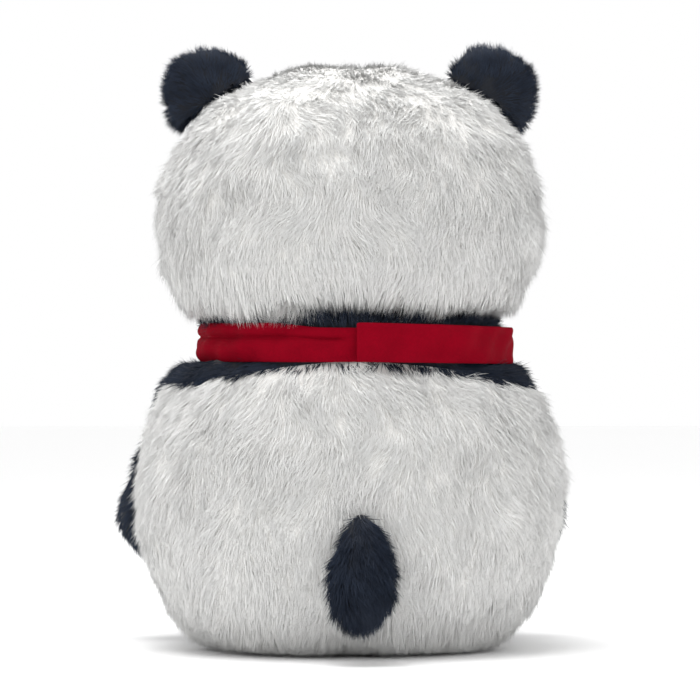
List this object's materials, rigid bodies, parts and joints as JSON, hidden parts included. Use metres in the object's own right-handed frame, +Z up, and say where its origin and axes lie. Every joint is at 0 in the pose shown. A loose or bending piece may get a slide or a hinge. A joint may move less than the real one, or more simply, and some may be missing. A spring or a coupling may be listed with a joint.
{
  "type": "seated plush panda",
  "caption": "Seated stuffed panda in long pile, black yoke, limbs, ears and tail, with a red neck band that overlaps at the back and a bow in front.",
  "frame": {"origin": "on the base plane, under the axis of the neck", "axes": "+Z up, the face looks towards -Y, the tail is on the +Y side, the toy's left hand is on the +X side"},
  "size_m": [0.2776, 0.3079, 0.3595],
  "materials": {
    "white_plush": "long white pile",
    "black_plush": "long blue black pile",
    "fibre_filling": "loose polyester fibre",
    "sole_suede": "short dark nap",
    "red_band": "plain woven red cloth",
    "fastener_tape": "hook and loop tape",
    "black_gloss": "polished",
    "washer_plastic": "moulded",
    "black_thread": "embroidery thread"
  },
  "bodies": {
    "body": {"yoke_back": "black_plush", "yoke_front": "black_plush", "body_back_left": "white_plush", "body_back_right": "white_plush", "belly_panel": "white_plush", "base_panel": "white_plush", "body_stuffing": "fibre_filling"},
    "neck": {"neck_stuffing": "fibre_filling"},
    "head": {"face_left": "white_plush", "face_right": "white_plush", "head_back_left": "white_plush", "head_back_right": "white_plush", "head_stuffing": "fibre_filling", "eye_left": "black_gloss", "eye_right": "black_gloss", "eye_washer_left": "washer_plastic", "eye_washer_right": "washer_plastic", "eye_patch_left": "black_plush", "eye_patch_right": "black_plush", "muzzle": "white_plush", "muzzle_stuffing": "fibre_filling", "nose": "black_gloss", "nose_washer": "washer_plastic", "mouth_stitching": "black_thread"},
    "neckband": {"neckband_under": "red_band", "neckband_over": "red_band", "fastener_loop": "fastener_tape", "fastener_hook": "fastener_tape", "bow_loop_left": "red_band", "bow_loop_right": "red_band", "bow_knot": "red_band", "bow_streamer_left": "red_band", "bow_streamer_right": "red_band"},
    "tail": {"tail": "black_plush", "tail_stuffing": "fibre_filling"},
    "ear_left": {"ear_left": "black_plush", "ear_stuffing_left": "fibre_filling"},
    "arm_left": {"arm_left": "black_plush", "arm_stuffing_left": "fibre_filling"},
    "leg_left": {"leg_left": "black_plush", "leg_stuffing_left": "fibre_filling", "foot_sole_left": "sole_suede"},
    "ear_right": {"ear_right": "black_plush", "ear_stuffing_right": "fibre_filling"},
    "arm_right": {"arm_right": "black_plush", "arm_stuffing_right": "fibre_filling"},
    "leg_right": {"leg_right": "black_plush", "leg_stuffing_right": "fibre_filling", "foot_sole_right": "sole_suede"}
  },
  "joints": [
    {"name": "head_turn", "type": "hinge", "parent": "body", "child": "neck", "pos_m": [0, 0, 0.1972], "axis": [0, 0, 1], "range_deg": [-20, 20], "stiffness_Nm_per_rad": 0.8},
    {"name": "head_nod", "type": "hinge", "parent": "neck", "child": "head", "pos_m": [0, 0, 0.1972], "axis": [1, 0, 0], "range_deg": [-5, 5], "stiffness_Nm_per_rad": 3},
    {"name": "neckband_turn", "type": "hinge", "parent": "body", "child": "neckband", "pos_m": [0, 0, 0.1836], "axis": [0, 0, 1], "range_deg": [-10, 10]},
    {"name": "tail_lift", "type": "hinge", "parent": "body", "child": "tail", "pos_m": [0, 0.111, 0.086], "axis": [1, 0, 0], "range_deg": [0, 45], "stiffness_Nm_per_rad": 0.03},
    {"name": "arm_left_swing", "type": "hinge", "parent": "body", "child": "arm_left", "pos_m": [0.09, -0.062, 0.147], "axis": [-0.9527, 0, -0.304], "range_deg": [-5, 75], "stiffness_Nm_per_rad": 0.15},
    {"name": "leg_left_lift", "type": "hinge", "parent": "body", "child": "leg_left", "pos_m": [0.051, -0.054, 0.0348], "axis": [-0.9877, -0.1564, 0], "range_deg": [0, 18], "stiffness_Nm_per_rad": 0.5},
    {"name": "ear_left_flop", "type": "hinge", "parent": "head", "child": "ear_left", "pos_m": [0.079, -0.003, 0.3285], "axis": [0.6709, 0, -0.7415], "range_deg": [-14, 14], "stiffness_Nm_per_rad": 0.02},
    {"name": "arm_right_swing", "type": "hinge", "parent": "body", "child": "arm_right", "pos_m": [-0.09, -0.062, 0.147], "axis": [-0.9527, 0, 0.304], "range_deg": [-5, 75], "stiffness_Nm_per_rad": 0.15},
    {"name": "leg_right_lift", "type": "hinge", "parent": "body", "child": "leg_right", "pos_m": [-0.051, -0.054, 0.0348], "axis": [-0.9877, 0.1564, 0], "range_deg": [0, 18], "stiffness_Nm_per_rad": 0.5},
    {"name": "ear_right_flop", "type": "hinge", "parent": "head", "child": "ear_right", "pos_m": [-0.079, -0.003, 0.3285], "axis": [-0.6709, 0, -0.7415], "range_deg": [-14, 14], "stiffness_Nm_per_rad": 0.02}
  ]
}
